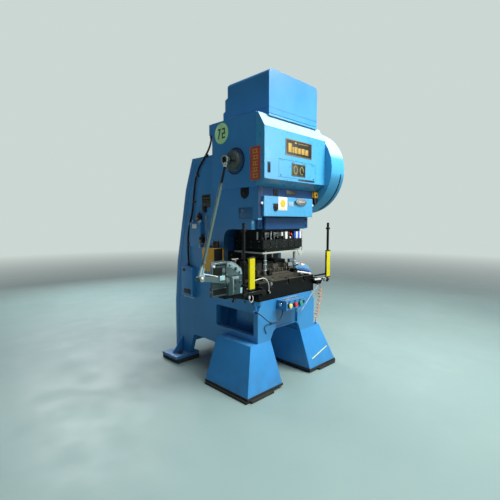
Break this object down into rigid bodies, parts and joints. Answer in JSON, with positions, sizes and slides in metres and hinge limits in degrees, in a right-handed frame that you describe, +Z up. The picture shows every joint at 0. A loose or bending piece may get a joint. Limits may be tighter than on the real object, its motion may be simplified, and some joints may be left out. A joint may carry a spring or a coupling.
{
  "type": "gap-frame power press with roll feeder",
  "caption": "Gap-frame mechanical power press: cast and welded C frame on splayed feet, covered flywheel, guided ram over a bolster with a die set, side roll feeder and light curtain.",
  "frame": {"origin": "on the floor, centre of the rectangle of the four anchor bolts, on the press centreline", "axes": "+Z up, -Y towards the operator, +X towards the flywheel"},
  "size_m": [1.716, 1.478, 2.79],
  "materials": {
    "blue_paint": "gloss machine enamel",
    "blue_paint_light": "gloss machine enamel",
    "black_paint": "satin black enamel",
    "die_steel": "blackened, oily",
    "bolster_steel": "worn, oiled",
    "bright_steel": "ground",
    "dark_steel": "turned, oiled",
    "cast_iron": "machined",
    "bronze": "machined",
    "zinc": "zinc plated",
    "feeder_paint": "grey-green enamel",
    "yellow_paint": "gloss",
    "ochre_paint": "gloss",
    "motor_paint": "satin",
    "rubber_black": "matt",
    "cable_grey": "satin",
    "cable_black": "satin",
    "hose_white": "satin",
    "hose_orange": "translucent",
    "button_yellow": "moulded",
    "button_red": "moulded",
    "button_green": "moulded",
    "knob_chrome": "polished"
  },
  "bodies": {
    "frame": {"side_plate_left": "blue_paint", "side_plate_right": "blue_paint", "crown_cheeks": "blue_paint", "crown_back_plate": "blue_paint", "rear_cover": "blue_paint", "throat_plate": "blue_paint", "jaw_front_plate": "blue_paint", "bed": "blue_paint", "front_foot_left": "blue_paint", "front_foot_right": "blue_paint", "rear_feet": "blue_paint", "foot_pads": "rubber_black", "bolster": "bolster_steel", "bolster_bolts": "dark_steel", "lower_die": "die_steel", "guide_posts": "bright_steel", "crown_front_cover": "blue_paint_light", "top_cover": "blue_paint_light", "balance_cylinder": "motor_paint", "flywheel_cover": "blue_paint_light", "main_bearings": "bronze", "motor": "motor_paint", "drive_belt": "rubber_black", "slide_gibs": "bronze", "slide_cover": "blue_paint_light", "control_box": "blue_paint", "curtain_bars": "yellow_paint", "curtain_stand_left": "black_paint", "curtain_stand_right": "black_paint", "lubricator": "ochre_paint", "air_unit": "blue_paint", "junction_box": "blue_paint", "feeder_bracket": "black_paint", "feeder_body": "feeder_paint", "feeder_hood": "feeder_paint", "side_hose": "cable_black", "panel_cable": "cable_black", "curtain_cable": "cable_grey", "bolster_hose": "hose_white", "coil_hose": "hose_orange"},
    "crank": {"crankshaft": "dark_steel", "crank_disc": "dark_steel", "clutch_hub": "dark_steel"},
    "flywheel": {"flywheel": "cast_iron"},
    "motor_rotor": {"motor_pulley": "cast_iron"},
    "ram": {"ram": "blue_paint", "upper_die": "die_steel"},
    "stripper": {"stripper_plate": "bright_steel"},
    "con_rod": {"connecting_rod": "cast_iron"},
    "flap": {"inspection_flap": "blue_paint_light"},
    "lower_roll": {"lower_feed_roll": "bright_steel"},
    "upper_roll": {"upper_feed_roll": "bright_steel"},
    "feeder_arm": {"feeder_arm": "bright_steel"},
    "link_rod": {"link_rod": "feeder_paint"},
    "pressure_screw": {"pressure_screw": "zinc"},
    "button_yellow": {"button_yellow": "button_yellow"},
    "button_red": {"button_red": "button_red"},
    "button_green": {"button_green": "button_green"},
    "key_switch": {"key_switch": "knob_chrome"}
  },
  "joints": [
    {"name": "crank_spin", "type": "hinge", "parent": "frame", "child": "crank", "pos_m": [0, -0.35, 2.036], "axis": [1, 0, 0], "continuous": true},
    {"name": "flywheel_spin", "type": "hinge", "parent": "frame", "child": "flywheel", "pos_m": [0.56, -0.35, 2.036], "axis": [1, 0, 0], "continuous": true},
    {"name": "motor_spin", "type": "hinge", "parent": "frame", "child": "motor_rotor", "pos_m": [0.5, 0.16, 2.275], "axis": [1, 0, 0], "continuous": true},
    {"name": "ram_slide", "type": "slide", "parent": "frame", "child": "ram", "axis": [0, 0, 1], "range_m": [-0.06, 0]},
    {"name": "rod_swing", "type": "hinge", "parent": "ram", "child": "con_rod", "pos_m": [0, -0.35, 1.64], "axis": [1, 0, 0], "range_deg": [-3, 3]},
    {"name": "stripper_slide", "type": "slide", "parent": "ram", "child": "stripper", "axis": [0, 0, 1], "range_m": [0, 0.008], "stiffness_N_per_m": 60000, "springref_m": -0.004},
    {"name": "flap_hinge", "type": "hinge", "parent": "frame", "child": "flap", "pos_m": [0, -0.702, 2.042], "axis": [-1, 0, 0], "range_deg": [0, 100]},
    {"name": "lower_roll_spin", "type": "hinge", "parent": "frame", "child": "lower_roll", "pos_m": [-0.72, -0.456, 1.016], "axis": [0, 1, 0], "continuous": true},
    {"name": "upper_roll_spin", "type": "hinge", "parent": "frame", "child": "upper_roll", "pos_m": [-0.72, -0.456, 1.0966], "axis": [0, 1, 0], "continuous": true},
    {"name": "arm_swing", "type": "hinge", "parent": "frame", "child": "feeder_arm", "pos_m": [-0.72, -0.53, 1.016], "axis": [0, 1, 0], "range_deg": [-6, 6]},
    {"name": "link_swing", "type": "hinge", "parent": "feeder_arm", "child": "link_rod", "pos_m": [-1.01, -0.557, 1.062], "axis": [0, 1, 0], "range_deg": [-6.5, 6.5]},
    {"name": "screw_turn", "type": "hinge", "parent": "frame", "child": "pressure_screw", "pos_m": [-0.553, -0.45, 1.17], "axis": [0, 0, 1], "range_deg": [-180, 180]},
    {"name": "key_turn", "type": "hinge", "parent": "frame", "child": "key_switch", "pos_m": [-0.168, -0.661, 0.749], "axis": [1, 0, 0], "range_deg": [0, 90]},
    {"name": "button_yellow_press", "type": "slide", "parent": "frame", "child": "button_yellow", "axis": [0, 1, 0], "range_m": [0, 0.004], "stiffness_N_per_m": 500},
    {"name": "button_red_press", "type": "slide", "parent": "frame", "child": "button_red", "axis": [0, 1, 0], "range_m": [0, 0.004], "stiffness_N_per_m": 500},
    {"name": "button_green_press", "type": "slide", "parent": "frame", "child": "button_green", "axis": [0, 1, 0], "range_m": [0, 0.004], "stiffness_N_per_m": 500}
  ],
  "couplings": [
    {"joint": "motor_spin", "follows": "flywheel_spin", "ratio": 5.4286},
    {"joint": "upper_roll_spin", "follows": "lower_roll_spin", "ratio": -1},
    {"joint": "link_swing", "follows": "arm_swing", "ratio": -1.047}
  ]
}
